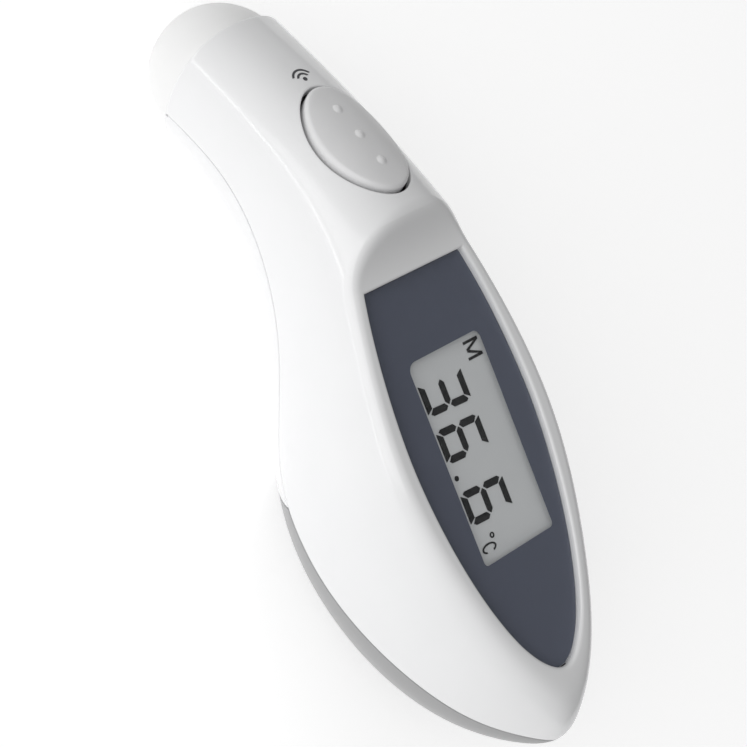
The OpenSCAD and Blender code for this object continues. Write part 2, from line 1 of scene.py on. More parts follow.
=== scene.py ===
"""Handheld probe instrument: white two-part shell, grey battery cover, domed probe cap,
oval scan button and a leaf-shaped display panel, lying on its back on a floor.

Body frame, in millimetres: x across the body, y along it with the probe at +y, z out of the
display face. place_on_floor() turns it about x, moves it to the floor (z = 0) and gives metres.
The display frame is the body frame turned about x by DISPLAY_TILT.
"""
import bmesh
import bpy
import json
import math
import numpy as np
from mathutils import Matrix, Vector
from mathutils.bvhtree import BVHTree
from mathutils.geometry import tessellate_polygon

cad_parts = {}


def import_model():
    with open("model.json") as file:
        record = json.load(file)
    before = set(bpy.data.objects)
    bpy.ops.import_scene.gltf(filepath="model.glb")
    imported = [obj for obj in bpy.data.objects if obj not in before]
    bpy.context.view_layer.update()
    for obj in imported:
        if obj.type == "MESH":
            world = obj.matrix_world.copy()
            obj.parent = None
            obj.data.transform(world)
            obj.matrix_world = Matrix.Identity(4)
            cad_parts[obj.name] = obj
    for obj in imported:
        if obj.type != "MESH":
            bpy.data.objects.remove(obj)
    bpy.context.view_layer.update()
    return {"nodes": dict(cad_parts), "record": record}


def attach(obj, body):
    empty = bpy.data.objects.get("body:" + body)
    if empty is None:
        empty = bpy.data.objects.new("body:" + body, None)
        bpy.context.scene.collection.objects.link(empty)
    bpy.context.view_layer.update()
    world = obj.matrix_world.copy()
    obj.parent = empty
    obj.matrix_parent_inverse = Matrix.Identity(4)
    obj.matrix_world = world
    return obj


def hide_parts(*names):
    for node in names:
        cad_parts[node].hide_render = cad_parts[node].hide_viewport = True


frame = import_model()
COARSE = 1    # divides the segment counts


def tilted_axes(degrees):
    """The y and z axes turned about x so that +y dips."""
    angle = math.radians(degrees)
    return (np.array([0, math.cos(angle), -math.sin(angle)]),
            np.array([0, math.sin(angle), math.cos(angle)]))


# ---------------------------------------------------------------- dimensions (mm, body frame)
# Side-view sections from the probe end to the tail:
# front point y, z (display side), back point y, z, half width
SECTIONS = np.array([
    [83.25, -10.75, 69.00, -32.75, 13.25],
    [68.50, -2.00, 58.50, -28.50, 13.25],
    [50.00, 6.50, 43.75, -27.25, 14.25],
    [28.25, 12.50, 25.50, -32.00, 19.25],
    [-1.00, 11.50, 2.00, -44.75, 25.25],
    [-26.0, 5.00, -25.0, -44.25, 19.75],
    [-38.75, 0.75, -43.75, -34.50, 12.75],
    [-47.5, -4.50, -52.25, -22.00, 5.25]])
# how far each section also moves towards the tail, per mm of growth
TAIL_SHIFT = np.array([0, 0, 0, 0, 0, .25, .5, .8])
TAIL_TIP = np.array([-54.5, -11.5])    # y, z
ROUNDNESS = 2.3                        # superellipse exponent of every section
LAST_STATION = 7.9995                  # the body closes to a point at 8
# control points (y, z) of the parting line between the front and rear parts
SEAM = np.array([
    [90, -34], [82, -29], [74, -24.5], [66, -19.5], [57, -16], [45, -15], [32, -16], [20, -22],
    [9, -29.3], [0, -29], [-10, -28.9], [-22, -26.7], [-34, -23.2], [-46, -19], [-54, -11.3],
    [-62, -7.5], [-70, -4]], float)

LIE_ANGLE = math.radians(5.75)
LIE_ORIGIN = np.array([0, -10.1, -42.56])    # in the turned frame
DISPLAY_TILT = math.radians(4.2)

X_AXIS = np.array([1.0, 0, 0])
Z_AXIS = np.array([0, 0, 1.0])
HEAD = np.array([0, 76.1, -21.75])           # centre of the probe opening
HEAD_AXIS, HEAD_UP = tilted_axes(33)
BUTTON = np.array([0, 56.85, 3.0])
BUTTON_Y, BUTTON_Z = tilted_axes(23.2)
SPLIT = np.array([0, 4.5, -31.0])            # plane between rear shell and battery cover
SPLIT_NORMAL = np.array([0, math.cos(math.radians(29.4)), math.sin(math.radians(29.4))])

WALL = 2.0
EDGE_RADIUS = 0.18
SEAM_OFFSET = 0.1 + EDGE_RADIUS              # parting edge to parting line
NECK_STATION, NECK_DEPTH, NECK_RADIUS = 0.36, 5.0, 10.6    # round bore at the probe end

# leaf-shaped display outline
LEAF_TOP, LEAF_TIP, LEAF_HALF_WIDTH = 32.7, -40.7, 16.7
LEAF_WIDEST_Y, LEAF_TOP_SPAN = 4, 49.5
TIP_INSET = 1.3                              # tip movement per mm of inset
LIP = 0.45                                   # opening edge outside the leaf outline
OPENING_TOP = LEAF_TOP + LIP
OPENING_TIP = LEAF_TIP - TIP_INSET * LIP
LEDGE_WIDTH, LEDGE_DEPTH, INNER_DEPTH = 1.4, 2.2, 3.4

BUTTON_HALF_WIDTH, BUTTON_HALF_LENGTH = 7.5, 11.5
BUTTON_GAP = 0.58
BUTTON_LIP = 0.4                             # rounding of the opening in the shell
BLOCK_TOP, BLOCK_BOTTOM, BLOCK_SIDE = 14.6, -14.2, -9.7    # grid block remeshed round it

SCREW_X, SCREW_Y = 8.5, 31                   # display frame
TRAY_BOSSES = ((15.5, -20, 11.5), (16.5, 8, 14.6))         # +-x, y, height
BOARD_BOSSES = ((15.8, -12), (16, 20))                     # +-x, y


# ---------------------------------------------------------------- frames and numeric helpers
def turn_about_x(points, angle):
    points = np.asarray(points, float)
    c, s = math.cos(angle), math.sin(angle)
    x, y, z = points[..., 0], points[..., 1], points[..., 2]
    return np.stack([x, y * c - z * s, y * s + z * c], -1)


def place_on_floor(points):
    return (turn_about_x(points, -LIE_ANGLE) - LIE_ORIGIN) / 1000.0


def from_display(points):
    """Display frame to body frame."""
    return turn_about_x(points, DISPLAY_TILT)


def unit(vectors):
    return vectors / np.maximum(np.linalg.norm(vectors, axis=-1, keepdims=True), 1e-12)


def signed_power(value, exponent):
    return np.sign(value) * np.abs(value) ** exponent


def smooth_min(first, second, width):
    share = np.clip(0.5 + 0.5 * (second - first) / width, 0, 1)
    return second * (1 - share) + first * share - width * share * (1 - share)


def bisect(low, high, is_below, steps):
    """Crossing between low and high; is_below tells where it lies above the tried value."""
    for _ in range(steps):
        middle = (low + high) / 2
        below = is_below(middle)
        low, high = np.where(below, middle, low), np.where(below, high, middle)
    return (low + high) / 2


def bspline(rows, position):
    """Uniform cubic B-spline through table rows."""
    position = np.asarray(position, float)
    i = np.clip(np.floor(position).astype(int), 0, len(rows) - 4)
    u = position - i
    weights = [(1 - u) ** 3 / 6, (3 * u ** 3 - 6 * u ** 2 + 4) / 6,
               (-3 * u ** 3 + 3 * u ** 2 + 3 * u + 1) / 6, u ** 3 / 6]
    return sum(weights[k][..., None] * rows[i + k] for k in range(4))


def fillet(points, outward, down, radius, steps):
    """Quadratic-curve rings that turn from outward to down."""
    corner = points + outward * radius
    end = corner + down * radius
    return [points * (1 - s) ** 2 + 2 * corner * s * (1 - s) + end * s * s for s in steps]


def inward_offsets(outline):
    """Directions that move a closed plan outline inwards by one unit, mitred at corners."""
    before = unit(outline - np.roll(outline, 1, 0))
    after = unit(np.roll(outline, -1, 0) - outline)
    normal_before = np.stack([-before[:, 1], before[:, 0]], -1)
    normal_after = np.stack([-after[:, 1], after[:, 0]], -1)
    mitre = unit(normal_before + normal_after)
    mitre /= np.maximum((mitre * normal_before).sum(1, keepdims=True), 0.35)
    following = np.roll(outline, -1, 0)
    area = 0.5 * np.sum(outline[:, 0] * following[:, 1] - following[:, 0] * outline[:, 1])
    return mitre if area > 0 else -mitre


# ---------------------------------------------------------------- body surface
# A surface point has a station (0 probe end to 8 tail) and an angle round its section:
# 90 degrees is the front (display) point, 180 the -x side, 270 the back point.
def control_rows(grow):
    """Section table grown outwards by grow mm, with end rows that close the tail."""
    front, back = SECTIONS[:, :2], SECTIONS[:, 2:4]
    direction = unit(front - back)
    front, back = front + grow * direction, back - grow * direction
    front[:, 0] -= grow * TAIL_SHIFT
    back[:, 0] -= grow * TAIL_SHIFT
    rows = np.hstack([front, back, SECTIONS[:, 4:5] + grow])
    tip_y, tip_z = TAIL_TIP[0] - grow, TAIL_TIP[1]
    last = rows[-1]
    mirrored = [last[2], last[3], last[0], last[1], -last[4]]
    return np.vstack([2 * rows[0] - rows[1], rows, [tip_y, tip_z, tip_y, tip_z, 0], mirrored])


def section(station, grow=0.0):
    """Centre (y, z), half axis towards the front point (y, z), and half width."""
    row = bspline(control_rows(grow), station)
    front, back = row[..., 0:2], row[..., 2:4]
    return (front + back) / 2, (front - back) / 2, row[..., 4]


def on_section(centre, half_axis, across, reach):
    """Point at x = across and at a share reach of the half axis."""
    return np.stack([across, centre[..., 0] + half_axis[..., 0] * reach,
                     centre[..., 1] + half_axis[..., 1] * reach], -1)


def skin(station, angle, grow=0.0):
    centre, half_axis, half_width = section(station, grow)
    return on_section(centre, half_axis, half_width * signed_power(np.cos(angle), 2 / ROUNDNESS),
                      signed_power(np.sin(angle), 2 / ROUNDNESS))


def face_z(y, drop):
    """Height of the display face: a slope that curves up beyond the leaf's top."""
    return 0.02 + 0.0734 * y + 0.065 * np.maximum(y - LEAF_TOP, 0) ** 2 - drop


def face_reach(station, grow=0.0, drop=0.0):
    """Share of the half axis at which the display face cuts a section; above 1 it misses."""
    centre, half_axis, _ = section(station, grow)

    def above_face(reach):
        return (centre[..., 1] + half_axis[..., 1] * reach
                - face_z(centre[..., 0] + half_axis[..., 0] * reach, drop))
    top = above_face(np.ones(station.shape))
    crossing = bisect(np.full(station.shape, -0.2), np.full(station.shape, 1.0),
                      lambda reach: above_face(reach) <= 0, steps=50)
    half_length = np.linalg.norm(half_axis, axis=-1)
    return np.where(top > 0, crossing, 1 - top / np.maximum(half_length, 1e-6) * 0.75)


def face_skin(station, angle, grow=0.0, drop=0.0, rounding=2.4):
    """Skin trimmed by the display face, with the edge rounded."""
    centre, half_axis, half_width = section(station, grow)
    half_length = np.linalg.norm(half_axis, axis=-1)
    reach = signed_power(np.sin(angle), 2 / ROUNDNESS)
    cut = face_reach(station, grow, drop)
    reach = smooth_min(reach * half_length, cut * half_length, rounding)
    reach = reach / np.maximum(half_length, 1e-9)
    across = half_width * signed_power(np.cos(angle), 2 / ROUNDNESS)
    return on_section(centre, half_axis, across, reach)


def face_normals(station, angle, step=1e-4):
    along = face_skin(station + step, angle) - face_skin(station - step, angle)
    around = face_skin(station, angle + step) - face_skin(station, angle - step)
    return unit(np.cross(around, along))


def face_line_y(station):
    centre, half_axis, _ = section(station)
    return centre[:, 0] + half_axis[:, 0] * face_reach(station)


def station_at_face_y(y):
    """Station whose display-face line lies at y."""
    stations = np.linspace(2.0, 7.9, 4000)
    line_y = face_line_y(stations)
    order = np.argsort(line_y)
    return np.interp(y, line_y[order], stations[order])


SEAM_CURVE = bspline(SEAM, np.linspace(0, len(SEAM) - 3.001, 900))
SEAM_CURVE = SEAM_CURVE[np.argsort(SEAM_CURVE[:, 0])]


def above_seam(points):
    seam_z = np.interp(points[..., 1], SEAM_CURVE[:, 0], SEAM_CURVE[:, 1])
    return points[..., 2] - seam_z


def seam_angle(station, offset):
    """Angle on the -x side where the section meets the parting line raised by offset."""
    half_length = np.linalg.norm(section(station)[1], axis=-1)
    raised = offset * np.minimum(1.0, half_length / 4.0)
    return bisect(np.full(station.shape, math.pi / 2 + 0.02),
                  np.full(station.shape, 1.5 * math.pi - 0.02),
                  lambda angle: above_seam(skin(station, angle)) - raised > 0, steps=48)


def around_probe(angle, along, radius):
    """Points on a circle round the probe axis."""
    angle = np.asarray(angle)[..., None]
    return HEAD + HEAD_AXIS * along + radius * (np.cos(angle) * X_AXIS + np.sin(angle) * HEAD_UP)


def with_neck_bore(station, angle, points):
    """Replaces the inner sheet near the probe end with the round bore."""
    share = np.clip(station / NECK_STATION, 0, 1)[..., None]
    bore = around_probe(angle, -NECK_DEPTH * share, NECK_RADIUS)
    return np.where(station[..., None] < NECK_STATION, bore, points)


def leaf_tip(inset):
    return LEAF_TIP + TIP_INSET * inset


def leaf_half_width(y, inset):
    share = np.where(y > LEAF_WIDEST_Y, (y - LEAF_WIDEST_Y) / LEAF_TOP_SPAN,
                     (LEAF_WIDEST_Y - y) / (LEAF_WIDEST_Y - leaf_tip(inset)))
    return (LEAF_HALF_WIDTH - inset) * np.maximum(0, 1 - np.maximum(share, 0) ** 1.8) ** 0.54


def button_xy(points):
    return np.stack([(points - BUTTON) @ X_AXIS, (points - BUTTON) @ BUTTON_Y], -1)


def locate(target):
    """Station and angle of the skin point with the given button-frame (x, y), by Newton steps."""
    station = 1.4 - target[..., 1] / 17.0
    angle = (math.pi / 2 - 0.001) - target[..., 0] / 13.5
    step = 1e-5

    def plan(station, angle):
        return button_xy(skin(station, angle))
    for _ in range(14):
        miss = plan(station, angle) - target
        along = (plan(station + step, angle) - plan(station - step, angle)) / (2 * step)
        around = (plan(station, angle + step) - plan(station, angle - step)) / (2 * step)
        det = along[..., 0] * around[..., 1] - along[..., 1] * around[..., 0]
        det = np.where(np.abs(det) < 1e-9, 1e-9, det)
        d_station = (miss[..., 0] * around[..., 1] - miss[..., 1] * around[..., 0]) / det
        d_angle = (along[..., 0] * miss[..., 1] - along[..., 1] * miss[..., 0]) / det
        station = np.clip(station - np.clip(d_station, -0.4, 0.4), 0.0, 7.9)
        angle = angle - np.clip(d_angle, -0.3, 0.3)
    return station, angle


# ---------------------------------------------------------------- mesh helpers
class MeshBuilder:
    """Collects points (mm, body frame) and faces of point indices."""

    def __init__(self):
        self.points, self.faces, self.count = [], [], 0

    def add(self, points):
        """Adds points and returns their indices in the same arrangement."""
        points = np.asarray(points, float)
        flat = points.reshape(-1, 3)
        indices = np.arange(self.count, self.count + len(flat))
        self.points.append(flat)
        self.count += len(flat)
        return indices.reshape(points.shape[:-1])

    def at(self, indices):
        return np.vstack(self.points)[indices]

    def grid(self, indices, flip=False, mask=None):
        """Quads over an index grid, left out where the mask is false."""
        for r in range(indices.shape[0] - 1):
            for c in range(indices.shape[1] - 1):
                if mask is not None and not mask[r, c]:
                    continue
                quad = (indices[r, c], indices[r, c + 1],
                        indices[r + 1, c + 1], indices[r + 1, c])
                self.faces.append(quad[::-1] if flip else quad)

    def strip(self, first, second):
        """Quads between two closed loops."""
        for k in range(len(first)):
            j = (k + 1) % len(first)
            self.faces.append((first[k], first[j], second[j], second[k]))

    def loft(self, loop, rings, end=None):
        """Adds rings of points after a loop, joined one to the next; returns the last loop."""
        for ring in rings:
            following = self.add(ring)
            self.strip(loop, following)
            loop = following
        if end is not None:
            self.strip(loop, end)
        return loop

    def to_mesh(self, name, above_floor=False, clean=True):
        points = place_on_floor(np.vstack(self.points))
        if above_floor:
            points[:, 2] = np.maximum(points[:, 2], 0.0)
        faces = [tuple(dict.fromkeys(int(i) for i in face)) for face in self.faces]
        mesh = bpy.data.meshes.new(name)
        mesh.from_pydata(points.tolist(), [], [face for face in faces if len(face) > 2])
        mesh.update()
        bm = bmesh.new()
        bm.from_mesh(mesh)
        if clean:
            bmesh.ops.remove_doubles(bm, verts=bm.verts, dist=1e-9)
            bmesh.ops.dissolve_degenerate(bm, dist=1e-9, edges=bm.edges)
            loose = [vert for vert in bm.verts if not vert.link_faces]
            bmesh.ops.delete(bm, geom=loose, context="VERTS")
        bmesh.ops.recalc_face_normals(bm, faces=bm.faces)
        bm.to_mesh(mesh)
        bm.free()
        return mesh


def make_object(name, mesh, body, slot, stand_in, sharp_angle=35):
    """Object that rides a body and replaces a CAD piece."""
    mesh.polygons.foreach_set("use_smooth", [True] * len(mesh.polygons))
    mesh.update()
    mesh.set_sharp_from_angle(angle=math.radians(sharp_angle))
    obj = bpy.data.objects.new(name, mesh)
    bpy.context.scene.collection.objects.link(obj)
    obj.data.materials.append(MATERIALS[slot])
    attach(obj, body)
    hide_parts(stand_in)


def boundary(grid):
    """Closed loop round a grid."""
    return np.concatenate([grid[0, :-1], grid[:-1, -1], grid[-1, ::-1][:-1], grid[::-1, 0][:-1]])


def double_sheet(mesh, outer, inner):
    """Two facing sheets of points; returns their boundary loops."""
    outer_grid, inner_grid = mesh.add(outer), mesh.add(inner)
    mesh.grid(outer_grid)
    mesh.grid(inner_grid, flip=True)
    return boundary(outer_grid), boundary(inner_grid)


def circle(centre, axis, radius, count):
    turn = np.linspace(0, 2 * np.pi, count, endpoint=False)[:, None]
    return centre + radius * (np.cos(turn) * X_AXIS + np.sin(turn) * np.cross(axis, X_AXIS))


def boss(mesh, base, axis, radius, hole, height):
    """Post with a blind hole in its base end; axis points from the base along the post."""
    profile = ((radius, height), (radius, 0.25), (radius - 0.25, 0),
               (hole + 0.15, 0), (hole, 0.15), (hole, height * 0.8))
    rings = [mesh.add(circle(base + axis * z, axis, r, count=28)) for r, z in profile]
    for first, second in zip(rings[:-1], rings[1:]):
        mesh.strip(first, second)
    mesh.faces.append(tuple(rings[0]))
    mesh.faces.append(tuple(rings[-1][::-1]))


def screw_post(mesh, skin_tree, base, axis, radius, hole, bore, seat):
    """Post with a screw hole and a counterbore; it ends in the middle of the skin's wall."""
    def ring(r, z):
        return circle(base + axis * z, axis, r, count=48)

    def end(r):
        hits = [skin_tree.ray_cast(Vector(point), Vector(axis))[0]
                for point in ring(r, seat + 0.5)]
        return np.array([np.array(hit) + axis * WALL * 0.5 for hit in hits])
    rings = [mesh.add(points) for points in (
        end(radius), ring(radius, 0.25), ring(radius - 0.25, 0), ring(hole + 0.15, 0),
        ring(hole, 0.15), ring(hole, seat), ring(bore, seat), end(bore))]
    for first, second in zip(rings, rings[1:] + rings[:1]):
        mesh.strip(first, second)


def cylinder_mesh(base, axis, radius, length, count=48):
    builder = MeshBuilder()
    bottom = builder.add(circle(base, axis, radius, count))
    top = builder.add(circle(base + axis * length, axis, radius, count))
    builder.strip(bottom, top)
    builder.faces += [tuple(bottom[::-1]), tuple(top)]
    return builder.to_mesh("bore_cut", clean=False)


def bore_skin(mesh, cutters, posts):
    """Cuts the cutter meshes out of a closed skin and adds the posts behind the holes."""
    target = bpy.data.objects.new("bore_tmp", mesh)
    bpy.context.scene.collection.objects.link(target)
    temporary = [target]
    for cutter_mesh in cutters:
        cutter = bpy.data.objects.new("bore_cut", cutter_mesh)
        bpy.context.scene.collection.objects.link(cutter)
        temporary.append(cutter)
        modifier = target.modifiers.new("bore", "BOOLEAN")
        modifier.operation = "DIFFERENCE"
        modifier.solver = "EXACT"
        modifier.object = cutter
    bpy.context.view_layer.update()
    depsgraph = bpy.context.evaluated_depsgraph_get()
    bored = bpy.data.meshes.new_from_object(target.evaluated_get(depsgraph))
    for obj in temporary:
        bpy.data.objects.remove(obj, do_unlink=True)
    post_mesh = posts.to_mesh("posts", clean=False)
    bm = bmesh.new()
    bm.from_mesh(post_mesh)
    bm.from_mesh(bored)
    bm.to_mesh(bored)
    bm.free()
    bpy.data.meshes.remove(post_mesh)
    return bored


def outward_signs(points, directions, split_side):
    """Sign that points each direction away from the sheet, at the probe, seam or split edge."""
    rise = above_seam(points + directions * 0.5) - above_seam(points)
    at_head = ((points - HEAD) @ HEAD_AXIS) > -0.4
    outward = np.where(at_head, directions @ HEAD_AXIS, rise if split_side else -rise)
    if split_side:
        at_split = np.abs((points - SPLIT) @ SPLIT_NORMAL) < 0.6
        from_split = -(directions @ SPLIT_NORMAL) * split_side
        outward = np.where(at_split & ~at_head, from_split, outward)
    return np.sign(outward + 1e-9)


def rim(mesh, loop, inner_loop, split_side=0):
    """Rounds the outer sheet's edge and joins it to the inner sheet.

    split_side is 0 for the front shell, 1 for the rear shell and -1 for the battery cover.
    """
    points = mesh.at(loop)
    inward = mesh.at(inner_loop) - points
    thickness = np.maximum(np.linalg.norm(inward, axis=1, keepdims=True), 1e-9)
    inward = inward / thickness
    tangent = unit(np.roll(points, -1, 0) - np.roll(points, 1, 0))
    outward = unit(np.cross(tangent, inward))
    outward = outward * outward_signs(points, outward, split_side)[:, None]
    radius = np.minimum(EDGE_RADIUS, thickness * 0.2)
    mesh.loft(loop, fillet(points, outward, inward, radius, steps=(0.33, 0.67, 1.0)),
              end=inner_loop)


# ---------------------------------------------------------------- materials
def connect(tree, node, inputs):
    """Links the inputs given as sockets and sets the others as values."""
    for key, value in inputs.items():
        if isinstance(value, bpy.types.NodeSocket):
            tree.links.new(value, node.inputs[key])
        else:
            node.inputs[key].default_value = value


def add_node(tree, kind, inputs=None, operation=None):
    node = tree.nodes.new(kind)
    if operation:
        node.operation = operation
    connect(tree, node, inputs or {})
    return node


def new_material(name):
    """Material, its tree, its Principled node and an object-coordinate socket."""
    material = bpy.data.materials.new(name)
    material.use_nodes = True
    tree = material.node_tree
    coordinates = add_node(tree, "ShaderNodeTexCoord").outputs["Object"]
    return material, tree, tree.nodes["Principled BSDF"], coordinates


def noise(tree, coordinates, scale, detail=2):
    inputs = {"Vector": coordinates, "Scale": scale, "Detail": detail}
    return add_node(tree, "ShaderNodeTexNoise", inputs).outputs["Fac"]


def map_range(tree, value, low, high):
    inputs = {"Value": value, "To Min": low, "To Max": high}
    return add_node(tree, "ShaderNodeMapRange", inputs).outputs["Result"]


def color_ramp(tree, factor, low, high, start=0.0, end=1.0):
    node = add_node(tree, "ShaderNodeValToRGB", {"Fac": factor})
    first, last = node.color_ramp.elements[0], node.color_ramp.elements[1]
    first.position, last.position = start, end
    first.color, last.color = low, high
    return node.outputs["Color"]


def srgb(*channels):
    """Linear colour from 0-255 sRGB channels."""
    return tuple(((v / 255 + 0.055) / 1.055) ** 2.4 if v > 10 else v / 255 / 12.92
                 for v in channels)


def plastic(name, color, rough, tone, grain=0.0, coat=0.0, painted_light_glow=0.0,
            noise_scale=90.0, grain_scale=4000.0):
    """Moulded plastic: clouds of tone and roughness, fine surface grain, optional emission as painted
    light.

    tone is the share by which the colour varies, grain the bump strength, painted_light_glow the
    strength of an emission that paints in light.
    """
    material, tree, principled, coordinates = new_material(name)
    clouds = noise(tree, coordinates, noise_scale, detail=4)
    color_out = color_ramp(tree, clouds, start=0.3, end=0.7,
                           low=[max(0, c * (1 - tone)) for c in color] + [1],
                           high=[min(1, c * (1 + tone)) for c in color] + [1])
    connect(tree, principled, {
        "Base Color": color_out,
        "Roughness": map_range(tree, clouds, max(0.02, rough * 0.88), min(1, rough * 1.12)),
        "Coat Weight": coat,
        "Coat Roughness": 0.08})
    # painted light: emission brightens the colour although the part is no lamp
    if painted_light_glow:
        connect(tree, principled, {"Emission Color": color_out, "Emission Strength": painted_light_glow})
    if grain:
        bump = add_node(tree, "ShaderNodeBump", {
            "Strength": grain,
            "Distance": 0.00005,
            "Height": noise(tree, coordinates, grain_scale)})
        connect(tree, principled, {"Normal": bump.outputs["Normal"]})
    return material


def metal(name, color, rough):
    """Metal with a fine change of tone and roughness."""
    material, tree, principled, coordinates = new_material(name)
    grain = noise(tree, coordinates, scale=1500.0)
    mix = add_node(tree, "ShaderNodeMixRGB", {
        "Fac": grain,
        "Color1": [*color, 1],
        "Color2": [c * 0.85 for c in color] + [1]})
    connect(tree, principled, {
        "Base Color": mix.outputs["Color"],
        "Roughness": map_range(tree, grain, rough * 0.75, rough * 1.3),
        "Metallic": 1.0})
    return material


def clear(name, tint, gloss, ior=1.49, glare=0.35):
    """Clear plastic: refracts camera rays, lets diffuse and shadow rays pass straight.

    gloss is the roughness of the reflection, glare scales its strength.
    """
    material, tree, principled, coordinates = new_material(name)
    tree.nodes.remove(principled)
    output = [n for n in tree.nodes if n.type == "OUTPUT_MATERIAL"][0]
    refraction = add_node(tree, "ShaderNodeBsdfRefraction",
                          {"IOR": ior, "Roughness": 0.0, "Color": tint})
    transparent = add_node(tree, "ShaderNodeBsdfTransparent", {"Color": tint})
    clouds = noise(tree, coordinates, scale=300)
    glossy = add_node(tree, "ShaderNodeBsdfGlossy", {
        "Roughness": map_range(tree, clouds, max(0.0, gloss - 0.01), gloss + 0.02)})
    geometry = add_node(tree, "ShaderNodeNewGeometry")
    fresnel = add_node(tree, "ShaderNodeFresnel", {"IOR": ior})
    # reflection only on faces seen from outside
    outside = add_node(tree, "ShaderNodeMath", {0: 1.0, 1: geometry.outputs["Backfacing"]},
                       operation="SUBTRACT")
    amount = add_node(tree, "ShaderNodeMath",
                      {0: fresnel.outputs["Fac"], 1: outside.outputs[0]}, operation="MULTIPLY")
    softened = add_node(tree, "ShaderNodeMath", {0: amount.outputs[0], 1: glare},
                        operation="MULTIPLY")
    surface = add_node(tree, "ShaderNodeMixShader", {
        "Fac": softened.outputs[0], 1: refraction.outputs[0], 2: glossy.outputs[0]})
    path = add_node(tree, "ShaderNodeLightPath")
    passes = add_node(tree, "ShaderNodeMath", {
        0: path.outputs["Is Shadow Ray"], 1: path.outputs["Is Diffuse Ray"]},
        operation="MAXIMUM")
    result = add_node(tree, "ShaderNodeMixShader", {
        "Fac": passes.outputs[0], 1: surface.outputs[0], 2: transparent.outputs[0]})
    connect(tree, output, {"Surface": result.outputs[0]})
    return material


# material of each slot
MATERIALS = {
    "shell_white": plastic("m_shell_white", (0.82, 0.822, 0.828), rough=0.16, tone=0.006,
                           coat=0.25, grain=0.03),
    "cap_white": plastic("m_cap_white", (0.83, 0.83, 0.828), rough=0.42, tone=0.008,
                         grain=0.25, grain_scale=6000),
    "cover_grey": plastic("m_cover_grey", (0.315, 0.315, 0.318), rough=0.3, tone=0.02, grain=0.1),
    "button_grey": plastic("m_button_grey", (0.70, 0.70, 0.705), rough=0.3, tone=0.015,
                           grain=0.08),
    "print_bluegrey": plastic("m_panel_print", srgb(88, 93, 107), rough=0.35, tone=0.02),
    # the LCD's emission is painted light: it lifts the face where the window's edges shade it
    "lcd_grey": plastic("m_lcd_grey", srgb(205, 205, 207), rough=0.5, tone=0.012,
                        noise_scale=30, painted_light_glow=0.10),
    "lcd_dark": plastic("m_lcd_dark", srgb(34, 34, 36), rough=0.5, tone=0.05),
    "print_dark": plastic("m_mark", srgb(66, 66, 70), rough=0.5, tone=0.05),
    "clear_panel": clear("m_panel_clear", tint=(0.985, 0.987, 0.99, 1), gloss=0.03),
    "lcd_glass": clear("m_lcd_glass", tint=(0.98, 0.985, 0.98, 1), gloss=0.05),
    "frame_white": plastic("m_frame_white", (0.7, 0.71, 0.71), rough=0.5, tone=0.02, grain=0.1),
    "zebra": plastic("m_zebra", (0.5, 0.22, 0.26), rough=0.7, tone=0.1),
    "pcb_green": plastic("m_pcb", (0.02, 0.14, 0.05), rough=0.35, tone=0.25, grain=0.1,
                         noise_scale=250, coat=0.3),
    "chip_black": plastic("m_chip", (0.02, 0.02, 0.022), rough=0.5, tone=0.2, grain=0.3),
    "tinned": metal("m_tinned", (0.62, 0.63, 0.65), rough=0.35),
    "ceramic": plastic("m_ceramic", (0.45, 0.3, 0.16), rough=0.5, tone=0.12),
    "black_plastic": plastic("m_black", (0.02, 0.02, 0.022), rough=0.4, tone=0.2, grain=0.3),
    "socket_ivory": plastic("m_ivory", (0.75, 0.72, 0.6), rough=0.5, tone=0.03, grain=0.1),
    "gold": metal("m_gold", (0.8, 0.58, 0.22), rough=0.22),
    "alu": metal("m_alu", (0.6, 0.61, 0.63), rough=0.35),
    "seal_black": plastic("m_seal", (0.015, 0.015, 0.015), rough=0.7, tone=0.2, grain=0.3),
    "filter_dark": plastic("m_filter", (0.03, 0.025, 0.05), rough=0.06, tone=0.2, coat=0.6),
    "cell_jacket": plastic("m_cell", (0.03, 0.08, 0.16), rough=0.22, tone=0.1, coat=0.5),
    "steel": metal("m_steel", (0.7, 0.71, 0.73), rough=0.22),
    "wire_red": plastic("m_wire_red", (0.45, 0.02, 0.015), rough=0.4, tone=0.08),
    "wire_blue": plastic("m_wire_blue", (0.02, 0.05, 0.3), rough=0.4, tone=0.08),
    "wire_black": plastic("m_wire_black", (0.015, 0.015, 0.015), rough=0.4, tone=0.2),
}


def paint_cad_pieces():
    slots = {part["node"]: part["material_slot"] for part in frame["record"]["subparts"]}
    for name, obj in frame["nodes"].items():
        obj.data.materials.clear()
        obj.data.materials.append(MATERIALS[slots[name]])


# ---------------------------------------------------------------- front shell
# Each of its two sheets has a left (-x) grid, its mirror, and a band across the neck.
SIDE_COLUMNS = 150 // COARSE
BAND_COLUMNS = 72 // COARSE


def front_stations():
    """Stations of the grid rows, and the rows at the display opening's top and tip."""
    top = station_at_face_y(OPENING_TOP)
    share = 1 - np.linspace(0, 1, 170 // COARSE)
    opening = station_at_face_y(OPENING_TIP + (OPENING_TOP - OPENING_TIP) * share ** 1.7)
    neck = np.concatenate([np.linspace(0, 0.12, 7)[:-1],
                           np.linspace(0.12, 2.1, 120 // COARSE)[:-1],
                           np.linspace(2.1, top, 130 // COARSE)[:-1]])
    share = np.linspace(0, 1, 70 // COARSE)[1:]
    tail = opening[-1] + (LAST_STATION - opening[-1]) * (1 - (1 - share) ** 1.8)
    top_row = len(neck)
    return np.concatenate([neck, opening, tail]), top_row, top_row + len(opening) - 1


